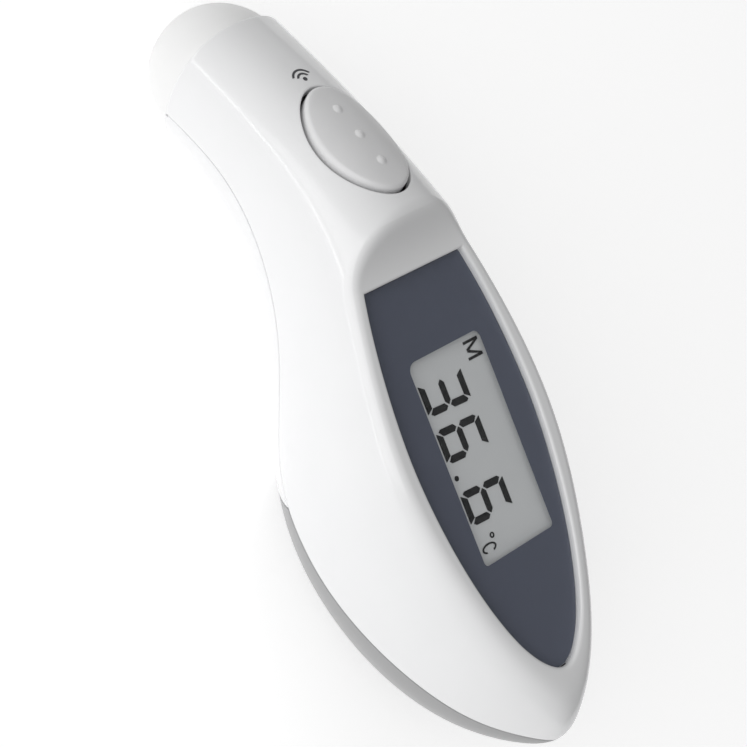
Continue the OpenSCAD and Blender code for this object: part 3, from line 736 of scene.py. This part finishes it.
def side_edge_angle(station, top_row, tip_row):
    """Angle where the left grid meets the neck band, the opening or the centre line."""
    neck_x = 10.9
    top_x = leaf_half_width(OPENING_TOP, -LIP)
    blend = np.clip((station[top_row] - station) / 0.75, 0, 1)
    blend = blend * blend * (3 - 2 * blend)
    edge_x = np.where(np.arange(len(station)) < top_row, top_x + (neck_x - top_x) * blend,
                      leaf_half_width(face_line_y(station), -LIP))
    edge_x[tip_row:] = 0
    share = np.minimum(edge_x / section(station)[2], 1) ** (ROUNDNESS / 2)
    return np.pi / 2 + (np.pi / 2 - np.arccos(np.clip(share, 0, 1)))


def mirrored_grids(mesh, points, tip_row, flip):
    left = mesh.add(points)
    right = mesh.add(points * np.array([-1, 1, 1]))
    right[tip_row:, -1] = left[tip_row:, -1]
    mesh.grid(left, flip=flip)
    mesh.grid(right, flip=not flip)
    return left, right


def band_grid(mesh, points, left, right, mask, flip):
    band = np.empty(points.shape[:2], int)
    band[:, 1:-1] = mesh.add(points[:, 1:-1])
    band[:, 0] = left[:len(points), -1]
    band[:, -1] = right[:len(points), -1]
    mesh.grid(band, flip=flip, mask=mask)
    return band


def button_block(xy):
    """Rows and columns of the neck band to leave out round the button."""
    centre_y = xy[:, BAND_COLUMNS // 2, 1]
    row_0 = int(np.argmin(np.abs(centre_y - BLOCK_TOP)))
    row_1 = int(np.argmin(np.abs(centre_y - BLOCK_BOTTOM)))
    middle_x = xy[(row_0 + row_1) // 2, :, 0]
    column_0 = int(np.argmin(np.abs(middle_x - BLOCK_SIDE)))
    return row_0, row_1, column_0, BAND_COLUMNS - column_0


def button_opening(mesh, loop, station, angle, xy):
    """Fills from the block's edge to the oval and rounds its lip."""
    half_x = BUTTON_HALF_WIDTH + BUTTON_GAP + BUTTON_LIP
    half_y = BUTTON_HALF_LENGTH + BUTTON_GAP + BUTTON_LIP
    turn = np.unwrap(np.arctan2(xy[:, 0] / half_x, xy[:, 1] / half_y))
    way = np.sign(turn[-1] - turn[0])
    even = turn[0] + way * 2 * np.pi * np.arange(len(turn)) / len(turn)
    turn = 0.5 * turn + 0.5 * even
    oval_station, oval_angle = locate(
        np.stack([half_x * np.sin(turn), half_y * np.cos(turn)], -1))
    steps = 14 // COARSE
    shares = [1 - (1 - k / steps) ** 1.4 for k in range(1, steps + 1)]
    loop = mesh.loft(loop, [face_skin(station + (oval_station - station) * share,
                                      angle + (oval_angle - angle) * share)
                            for share in shares])
    normal = face_normals(oval_station, oval_angle)
    normal *= np.sign(normal @ BUTTON_Z)[:, None]
    inward = (-(np.sin(turn) / half_x)[:, None] * X_AXIS
              - (np.cos(turn) / half_y)[:, None] * BUTTON_Y)
    inward = unit(inward - normal * (inward * normal).sum(1, keepdims=True))
    lip = fillet(face_skin(oval_station, oval_angle), inward, -BUTTON_Z, BUTTON_LIP,
                 steps=(0.2, 0.4, 0.6, 0.8, 1.0))
    return mesh.loft(loop, lip), lip[-1], oval_station, oval_angle


def button_wall(mesh, loop, top, station, angle, inner_loop):
    """Straight wall from the lip down to the inner skin, then out to the inner sheet."""
    depth = (skin(station, angle, -WALL) - BUTTON) @ BUTTON_Z
    foot = top - BUTTON_Z * (((top - BUTTON) @ BUTTON_Z) - depth)[:, None]
    inner = mesh.at(inner_loop)
    rings = [foot * (1 - share) + inner * share for share in (0, 1 / 3, 2 / 3)]
    mesh.loft(loop, rings, end=inner_loop)


def opening_loop(left, right, band, top_row, tip_row):
    return np.concatenate([left[top_row:tip_row + 1, -1], right[top_row:tip_row, -1][::-1],
                           band[top_row, 1:-1][::-1]])


def outer_loop(left, right, band):
    probe = np.concatenate([left[0], band[0, 1:-1], right[0, ::-1]])
    tail = np.concatenate([left[-1], right[-1, ::-1][1:]])
    return np.concatenate([probe[:-1], right[:-1, 0], tail[::-1][:-1], left[::-1, 0][:-1]])


def display_opening(mesh, loop, inner_loop):
    """Rounded lip, wall and ledge."""
    edge = mesh.at(loop)
    offsets = inward_offsets(edge[:, :2])
    down = from_display(-Z_AXIS)
    inward = offsets[:, :1] * X_AXIS + offsets[:, 1:] * from_display([0, 1.0, 0])
    # the lip is wider near the tip
    lip = LIP + 0.2 + 0.22 * np.clip((OPENING_TIP + 8 - edge[:, 1:2]) / 6, 0, 1)
    ledge = LIP + LEDGE_WIDTH
    rings = fillet(edge, inward, down, lip, steps=(0.17, 0.33, 0.5, 0.67, 0.83, 1.0))
    rings += [edge + inward * offset + down * depth for offset, depth in
              ((lip, LEDGE_DEPTH), (ledge, LEDGE_DEPTH), (ledge, INNER_DEPTH))]
    mesh.loft(loop, rings, end=inner_loop)


def front_bosses(mesh):
    for spacing, y, height in TRAY_BOSSES:
        for x in (-spacing, spacing):
            boss(mesh, np.array([x, y, -18.5]), Z_AXIS, radius=2.5, hole=1.1, height=height)
    up = from_display(Z_AXIS)
    for spacing, y in BOARD_BOSSES:
        for x in (-spacing, spacing):
            boss(mesh, from_display([x, y, -8.4]), up, radius=2.2, hole=0.8, height=5.1)
    for x in (-SCREW_X, SCREW_X):
        boss(mesh, from_display([x, SCREW_Y, -13.9]), up, radius=2.8, hole=1.1, height=10.6)


def front_shell():
    mesh = MeshBuilder()
    rows, top_row, tip_row = front_stations()
    edge = side_edge_angle(rows, top_row, tip_row)
    seam = seam_angle(rows, SEAM_OFFSET)
    share = np.linspace(0, 1, SIDE_COLUMNS + 1) ** 0.8
    side_angle = seam[:, None] + (edge - seam)[:, None] * share
    side_station = np.repeat(rows[:, None], SIDE_COLUMNS + 1, 1)

    left_edge = edge[:top_row + 1]
    share = np.linspace(0, 1, BAND_COLUMNS + 1)
    band_angle = left_edge[:, None] + ((np.pi - left_edge) - left_edge)[:, None] * share
    band_station = np.repeat(rows[:top_row + 1, None], BAND_COLUMNS + 1, 1)
    band_points = face_skin(band_station, band_angle)
    band_xy = button_xy(band_points)
    row_0, row_1, column_0, column_1 = button_block(band_xy)
    mask = np.ones((top_row, BAND_COLUMNS), bool)
    mask[row_0:row_1, column_0:column_1] = False
    block = (slice(row_0, row_1 + 1), slice(column_0, column_1 + 1))

    left, right = mirrored_grids(mesh, face_skin(side_station, side_angle), tip_row, flip=True)
    outer = (left, right, band_grid(mesh, band_points, left, right, mask, flip=True))
    button_edge = button_opening(mesh, *(boundary(grid[block]) for grid in
                                         (outer[2], band_station, band_angle, band_xy)))

    def inner_points(station, angle):
        points = face_skin(station, angle, grow=-WALL, drop=INNER_DEPTH, rounding=0.6)
        return with_neck_bore(station, angle, points)
    left, right = mirrored_grids(mesh, inner_points(side_station, side_angle), tip_row,
                                 flip=False)
    inner = (left, right, band_grid(mesh, inner_points(band_station, band_angle),
                                    left, right, mask, flip=False))
    button_wall(mesh, *button_edge, boundary(inner[2][block]))
    display_opening(mesh, opening_loop(*outer, top_row, tip_row),
                    opening_loop(*inner, top_row, tip_row))
    rim(mesh, outer_loop(*outer), outer_loop(*inner))
    front_bosses(mesh)
    name = "front_shell_skin"
    make_object(name, mesh.to_mesh(name), "housing", "shell_white", "front_shell", sharp_angle=50)


# ---------------------------------------------------------------- rear shell and battery cover
def lower_grid(side, rows, columns):
    """Stations and angles under the parting line, on the probe (1) or tail (-1) side of the split."""
    across = np.linspace(0, 1, columns + 1)
    down = np.linspace(0, 1, rows + 1)
    if side > 0:
        station = 3.6 * down[:, None] * np.ones(columns + 1)
    else:
        down = 1 - (1 - down) ** 1.6
        station = 3.8 + 4.19 * down[:, None] * np.ones(columns + 1)

    def angles(station):
        """From the seam on the -x side, under the body, to its mirror on the +x side."""
        seam = seam_angle(station, -SEAM_OFFSET)
        return seam + (3 * np.pi - seam - seam) * across[None]

    def past_split(station, angle):
        return (skin(station, angle) - SPLIT) @ SPLIT_NORMAL - SEAM_OFFSET * side > 0
    # the split station of a column and its angle depend on each other
    for _ in range(12):
        split_angle = angles(station)[-1 if side > 0 else 0]
        split = bisect(np.full(columns + 1, 2.2), np.full(columns + 1, 5.6),
                       lambda middle: past_split(middle, split_angle), steps=40)
        if side > 0:
            station = split[None] * down[:, None]
        else:
            station = split[None] + (LAST_STATION - split[None]) * down[:, None]
    return station, angles(station)


def lower_skin(side):
    mesh = MeshBuilder()
    station, angle = lower_grid(side, rows=170 // COARSE, columns=150 // COARSE)
    inner = skin(station, angle, -WALL)
    if side > 0:
        inner = with_neck_bore(station, angle, inner)
    rim(mesh, *double_sheet(mesh, skin(station, angle), inner), split_side=side)
    return mesh


def rear_shell():
    """Lower skin with two counterbored screw posts and two bosses behind the button."""
    mesh = lower_skin(side=1)
    tree = BVHTree.FromPolygons(np.vstack(mesh.points).tolist(),
                                [tuple(int(i) for i in face) for face in mesh.faces])
    posts = MeshBuilder()
    down = from_display(-Z_AXIS)
    for x in (-SCREW_X, SCREW_X):
        screw_post(posts, tree, from_display([x, SCREW_Y, -14.1]), down,
                   radius=3.0, hole=1.2, bore=2.4, seat=2.0)
    for y, height in ((-9, 15.0), (9, 14.0)):
        boss(posts, BUTTON + BUTTON_Y * y - BUTTON_Z * 13.8, -BUTTON_Z,
             radius=2.2, hole=0.8, height=height)
    name = "rear_shell_skin"
    closed = mesh.to_mesh(name)
    cutters = [cylinder_mesh(from_display([x, SCREW_Y, -18.6]), down, radius=2.38, length=24.0)
               for x in (-SCREW_X, SCREW_X)]
    bored = bore_skin(closed, cutters, posts)
    bored.name = name
    make_object(name, bored, "housing", "shell_white", "rear_shell", sharp_angle=50)


def battery_cover():
    """Lower skin with a tongue that tucks inside the rear shell and a web that carries it."""
    mesh = lower_skin(side=-1)
    station, across = np.meshgrid(np.linspace(3.25, 3.95, 24), np.linspace(-7, 7, 15),
                                  indexing="ij")

    def layer(grow):
        centre, half_axis, half_width = section(station, grow)
        reach = -(1 - np.abs(across / half_width) ** ROUNDNESS) ** (1 / ROUNDNESS)
        return on_section(centre, half_axis, across, reach)
    # growth of the two faces beyond the inner skin, range of distances from the split plane
    for outer_grow, inner_grow, nearest, farthest in (
            (-0.35, -1.5, -3.8, 3.4),     # tongue
            (0.2, -0.6, -3.6, -0.5)):     # web
        outer, inner = layer(-WALL + outer_grow), layer(-WALL + inner_grow)
        distance = ((outer - SPLIT) @ SPLIT_NORMAL)[:, outer.shape[1] // 2]
        keep = (distance < farthest) & (distance > nearest)
        mesh.strip(*double_sheet(mesh, outer[keep], inner[keep]))
    name = "battery_cover_skin"
    make_object(name, mesh.to_mesh(name, above_floor=True), "cover", "cover_grey",
                "battery_cover", sharp_angle=50)


# ---------------------------------------------------------------- probe cap
def cap_profile():
    """Closed (radius, distance along the probe axis) profile of the hollow dome and its collar."""
    outer_radius, outer_height = 12.75, 13.0
    inner_radius, inner_height = 11.55, 11.8
    base = 0.2

    def dome(radius, height):
        turns = [math.radians(turn) for turn in np.linspace(0, 90, 60)]
        points = [(radius * max(math.cos(turn), 0) ** 0.85, base + height * math.sin(turn))
                  for turn in turns]
        points[-1] = (0.0, base + height)
        return points
    softened_rim = [(outer_radius - 0.35, base), (outer_radius - 0.18, 0.22),
                    (outer_radius - 0.06, 0.32)]
    outside = [point for point in dome(outer_radius, outer_height) if point[1] > 0.45]
    inside = [point for point in dome(inner_radius, inner_height)[::-1] if point[1] > 1.5]
    collar = [(9.3, 1.4), (9.3, -1.45), (9.45, -1.6), (10.15, -1.6), (10.3, -1.45), (10.3, base)]
    return softened_rim + outside + inside + collar


def probe_cap(count=160):
    mesh = MeshBuilder()
    turns = np.linspace(0, 2 * np.pi, count, endpoint=False)
    rings = []
    for radius, along in cap_profile():
        if radius < 1e-6:
            rings.append(np.repeat(mesh.add(HEAD + HEAD_AXIS * along), count))
        else:
            rings.append(mesh.add(around_probe(turns, along, radius)))
    for first, second in zip(rings, rings[1:] + rings[:1]):
        if first[0] == first[1] and second[0] == second[1]:
            continue    # both rings are points on the axis
        mesh.strip(first, second)
    name = "probe_cap_dome"
    make_object(name, mesh.to_mesh(name), "cap", "cap_white", "probe_cap")


# ---------------------------------------------------------------- scan button
def scan_button():
    """Oval cap that follows the skin, with three raised dots, a skirt flange and a stem."""
    edge_radius, proud = 0.75, 0.7
    dot_height, dot_radius, dot_spacing = 0.42, 0.95, 5.9
    face_edge = 0.9     # share of the oval covered by evenly scaled rings
    # extra over the half axes, z; the last two rows turn back up inside the flange
    skirt = ((0, -5.9), (1.0, -5.9), (1.3, -6.1), (1.3, -6.8), (1.1, -6.9), (-1.6, -6.9),
             (-1.6, -1.9))
    stem = ((2.0, -1.9), (2.0, -7.85), (1.85, -8.0))    # radius, z
    mesh = MeshBuilder()
    count = 320 // COARSE
    turn = np.linspace(0, 2 * np.pi, count, endpoint=False)

    def oval(half_x, half_y):
        return np.stack([half_x * np.sin(turn), half_y * np.cos(turn)], -1)

    def place(xy, z):
        return BUTTON + xy[..., :1] * X_AXIS + xy[..., 1:] * BUTTON_Y + z[..., None] * BUTTON_Z

    def top_z(xy):
        return (skin(*locate(xy)) - BUTTON) @ BUTTON_Z + proud
    edge = oval(BUTTON_HALF_WIDTH, BUTTON_HALF_LENGTH)
    reach = np.hypot(edge[:, 0], edge[:, 1])

    def crown_ring(scale, from_edge):
        xy = edge * np.reshape(scale, (-1, 1))
        into_round = np.clip(edge_radius - from_edge, 0, edge_radius)
        z = top_z(xy) - (edge_radius
                         - np.sqrt(np.maximum(edge_radius * edge_radius
                                              - into_round * into_round, 0)))
        for dot_y in (dot_spacing, 0, -dot_spacing):
            distance = np.hypot(xy[:, 0], xy[:, 1] - dot_y)
            z = z + dot_height * np.maximum(0, 1 - (distance / dot_radius) ** 2) ** 1.1
        return mesh.add(place(xy, z))
    scales = np.linspace(0.012, face_edge, 90 // COARSE)
    rings = [crown_ring(scale, (1 - scale) * reach) for scale in scales]
    for degrees in np.linspace(0, 90, 14):
        from_edge = edge_radius * (1 - math.sin(math.radians(degrees)))
        scale = 1 - from_edge / reach
        if scale.min() > scales[-1]:
            rings.append(crown_ring(scale, from_edge))
    for extra, z in skirt:
        xy = oval(BUTTON_HALF_WIDTH + extra, BUTTON_HALF_LENGTH + extra)
        rings.append(mesh.add(place(xy, np.full(count, z))))
    for radius, z in stem:
        rings.append(mesh.add(place(oval(radius, radius), np.full(count, z))))
    centre_z = top_z(np.array([[0.0, 0.001]])) + dot_height
    centre = mesh.add(place(np.array([[0.0, 0.0]]), centre_z))[0]
    for k in range(count):
        mesh.faces.append((centre, rings[0][k], rings[0][(k + 1) % count]))
    for first, second in zip(rings[:-1], rings[1:]):
        mesh.strip(first, second)
    mesh.faces.append(tuple(rings[-1]))
    name = "scan_button_cap"
    make_object(name, mesh.to_mesh(name), "button", "button_grey", "scan_button", sharp_angle=40)


# ---------------------------------------------------------------- display panel and print
def leaf_outline(inset):
    """Leaf outline in the display plane: +x side down to the tip, -x side back, top edge."""
    tip = leaf_tip(inset)
    y = tip + (LEAF_TOP - inset - tip) * (1 - np.linspace(0, 1, 150)) ** 1.8
    x = leaf_half_width(y, inset)
    x[-1] = 0
    top_x = np.linspace(-x[0], x[0], 40)[1:-1]
    return np.vstack([np.stack([x, y], -1), np.stack([-x[:-1], y[:-1]], -1)[::-1],
                      np.stack([top_x, np.full(len(top_x), y[0])], -1)])


def round_rect(x0, y0, x1, y1, radii, steps=12):
    """Radii are for the corners (x1, y1), (x0, y1), (x0, y0), (x1, y0)."""
    corners = ((x1, y1, -1, -1, 0), (x0, y1, 1, -1, 90), (x0, y0, 1, 1, 180), (x1, y0, -1, 1, 270))
    points = []
    for (x, y, side_x, side_y, start), radius in zip(corners, radii):
        for k in range(steps + 1):
            turn = math.radians(start + 90 * k / steps)
            points.append((x + side_x * radius + radius * math.cos(turn),
                           y + side_y * radius + radius * math.sin(turn)))
    return np.array(points)


def prism(outline, levels, name, slot, stand_in, holes=()):
    """Solid from a plan outline; levels are (inset, z) from bottom to top in the display frame."""
    mesh = MeshBuilder()
    walls = []
    for k, contour in enumerate((outline, *holes)):
        offsets = inward_offsets(contour) * (1 if k == 0 else -1)
        plans = [contour + offsets * inset for inset, _ in levels]
        loops = [mesh.add(from_display(np.column_stack([plan, np.full(len(plan), z)])))
                 for plan, (_, z) in zip(plans, levels)]
        for lower, upper in zip(loops[:-1], loops[1:]):
            mesh.strip(*((lower, upper) if k == 0 else (upper, lower)))
        walls.append((plans, loops))
    for level in (0, -1):
        contours = [[Vector((x, y, 0)) for x, y in plans[level]] for plans, _ in walls]
        indices = np.concatenate([loops[level] for _, loops in walls])
        for triangle in tessellate_polygon(contours):
            face = tuple(indices[i] for i in triangle)
            mesh.faces.append(face[::-1] if level == 0 else face)
    make_object(name, mesh.to_mesh(name), "housing", slot, stand_in)


def display_panel():
    prism(leaf_outline(0.15),
          [(0.15, -2.0), (0.0, -1.85), (0.0, -0.95), (0.05, -0.85), (0.18, -0.8)],
          "display_panel_clear", "clear_panel", "display_panel")


def panel_print():
    window = round_rect(-8.2, -18.45, 10.4, 18.55, radii=(1.5, 1.9, 0.9, 0.9))
    prism(leaf_outline(0.3), [(0, -2.18), (0, -2.03)], "panel_print_film", "print_bluegrey",
          "panel_print", holes=(window,))


# ---------------------------------------------------------------- camera, floor, light
def camera():
    """Camera turned about the body's y (yaw), then x (pitch), then its own axis (roll)."""
    yaw, pitch, roll = math.radians(42.210), math.radians(3.725), math.radians(24.270)
    shift_right, shift_up, distance = 18.80, -12.719, 417.22    # mm
    level_back = np.array([-math.sin(yaw), 0, math.cos(yaw)])
    level_right = np.array([math.cos(yaw), 0, math.sin(yaw)])
    body_y = np.array([0, 1.0, 0])
    back = level_back * math.cos(pitch) + body_y * math.sin(pitch)
    pitched_up = body_y * math.cos(pitch) - level_back * math.sin(pitch)
    right = math.cos(roll) * level_right - math.sin(roll) * pitched_up
    up = math.sin(roll) * level_right + math.cos(roll) * pitched_up
    data = bpy.data.cameras.new("camera")
    obj = bpy.data.objects.new("camera", data)
    bpy.context.scene.collection.objects.link(obj)
    data.sensor_width = 36
    data.sensor_fit = "HORIZONTAL"
    data.lens = 118.110843
    data.clip_start = 0.01
    data.clip_end = 20
    matrix = np.eye(4)
    for column, axis in enumerate((right, up, back)):
        matrix[:3, column] = turn_about_x(axis, -LIE_ANGLE)
    matrix[:3, 3] = place_on_floor(-shift_right * right - shift_up * up + distance * back)
    obj.matrix_world = Matrix(matrix.tolist())
    bpy.context.scene.camera = obj


def floor():
    """White, faintly glowing floor."""
    half = 3.0
    mesh = bpy.data.meshes.new("floor")
    mesh.from_pydata([(-half, -half, 0), (half, -half, 0), (half, half, 0), (-half, half, 0)],
                     [], [(0, 1, 2, 3)])
    obj = bpy.data.objects.new("floor", mesh)
    bpy.context.scene.collection.objects.link(obj)
    material, tree, principled, coordinates = new_material("m_floor")
    connect(tree, principled, {
        "Base Color": color_ramp(tree, noise(tree, coordinates, scale=3),
                                 low=(0.93, 0.93, 0.93, 1), high=(0.95, 0.95, 0.95, 1)),
        "Roughness": 0.9,
        "Specular IOR Level": 0.1,
        "Emission Color": (1, 1, 1, 1),
        "Emission Strength": 0.42})
    mesh.materials.append(material)


def area_light(name, location, target, size, power, size_y=None):
    light = bpy.data.lights.new(name, "AREA")
    light.energy = power
    light.shape = "RECTANGLE" if size_y else "SQUARE"
    light.size = size
    if size_y:
        light.size_y = size_y
    obj = bpy.data.objects.new(name, light)
    bpy.context.scene.collection.objects.link(obj)
    obj.location = location
    aim = Vector(target) - Vector(location)
    obj.rotation_euler = aim.to_track_quat("-Z", "Y").to_euler()


def world():
    """White surroundings, brightest towards one direction."""
    data = bpy.data.worlds.new("world")
    bpy.context.scene.world = data
    data.use_nodes = True
    tree = data.node_tree
    coordinates = add_node(tree, "ShaderNodeTexCoord")
    towards = add_node(tree, "ShaderNodeVectorMath", {
        0: coordinates.outputs["Generated"],
        1: (-0.85, 0.35, 0.4)}, operation="DOT_PRODUCT")
    strength = add_node(tree, "ShaderNodeMapRange", {
        "Value": towards.outputs["Value"],
        "From Min": -1.0,
        "From Max": 1.0,
        "To Min": 0.12,
        "To Max": 0.62})
    connect(tree, tree.nodes["Background"], {
        "Strength": strength.outputs["Result"],
        "Color": (1, 1, 1, 1)})


paint_cad_pieces()
front_shell()
rear_shell()
battery_cover()
probe_cap()
scan_button()
display_panel()
panel_print()
camera()
floor()
world()
area_light("key", location=(-0.95, 0.26, 0.62), target=(0, 0.02, 0.02), size=1.0, power=4.6)
area_light("strip", location=(-0.55, 0.30, 0.055), target=(0, 0.03, 0.03), size=0.9,
           power=0.35, size_y=0.025)
bpy.context.scene.view_settings.view_transform = "Standard"
